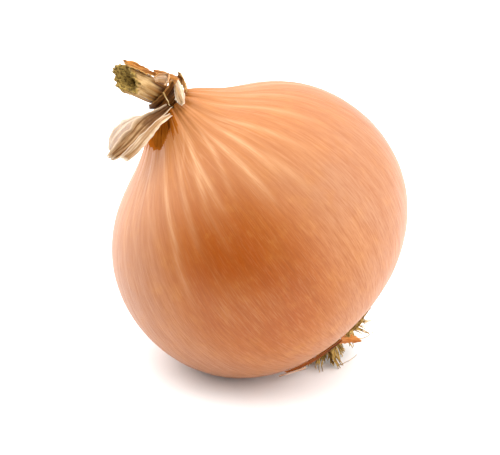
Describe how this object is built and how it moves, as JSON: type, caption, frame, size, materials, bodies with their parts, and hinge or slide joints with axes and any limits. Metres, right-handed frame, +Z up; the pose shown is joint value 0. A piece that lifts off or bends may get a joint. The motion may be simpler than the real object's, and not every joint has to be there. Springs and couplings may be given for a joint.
{
  "type": "onion",
  "caption": "Brown-skinned onion lying on its side, with a bent dry stem stump and torn papery skins at the neck and dried roots at the base.",
  "frame": {"origin": "middle of the small flat spot the onion rests on", "axes": "+Z up from the surface it rests on; the neck leans 35 degrees from upright toward -X and the root end faces down toward +X; +Y is the far side"},
  "size_m": [0.0758, 0.0794, 0.0822],
  "materials": {
    "onion_skin": "dry papery outer skin with a soft sheen, orange brown with pale veins",
    "stem_straw": "dried fibrous leaf stem, matt straw",
    "neck_rust_skin": "papery dry skin, rust orange",
    "neck_tan_skin": "papery dry skin, tan",
    "neck_silver_skin": "papery dry skin, silvery cream",
    "throat_umber_skin": "papery dry skin, dark brown",
    "hanging_brown_skin": "papery dry skin, dull brown",
    "hanging_cream_skin": "papery dry skin, cream",
    "hanging_pale_skin": "thin translucent dry skin, pale cream",
    "fibre_straw": "dry fibre, pale straw",
    "root_plate_cork": "rough corky plate, dark brown",
    "root_khaki": "dried root, matt khaki",
    "base_orange_skin": "papery dry skin, orange",
    "base_pale_skin": "papery dry skin, pale pink"
  },
  "bodies": {
    "root": {"base_skin_orange": "base_orange_skin", "base_skin_pale": "base_pale_skin", "base_skin_rim": "base_orange_skin", "bulb": "onion_skin", "hanging_film": "hanging_pale_skin", "hanging_fold": "hanging_cream_skin", "hanging_strip": "hanging_brown_skin", "neck_fibre_1": "fibre_straw", "neck_fibre_2": "fibre_straw", "neck_skin_back": "neck_tan_skin", "neck_skin_curl": "neck_silver_skin", "neck_skin_rim": "neck_tan_skin", "neck_skin_silver": "neck_silver_skin", "neck_skin_top": "neck_rust_skin", "neck_stem": "stem_straw", "root_01": "root_khaki", "root_02": "root_khaki", "root_03": "root_khaki", "root_04": "root_khaki", "root_05": "root_khaki", "root_06": "root_khaki", "root_07": "root_khaki", "root_08": "root_khaki", "root_09": "root_khaki", "root_10": "root_khaki", "root_11": "root_khaki", "root_hair_1": "root_khaki", "root_hair_2": "root_khaki", "root_plate": "root_plate_cork", "throat_skin": "throat_umber_skin"}
  },
  "joints": []
}
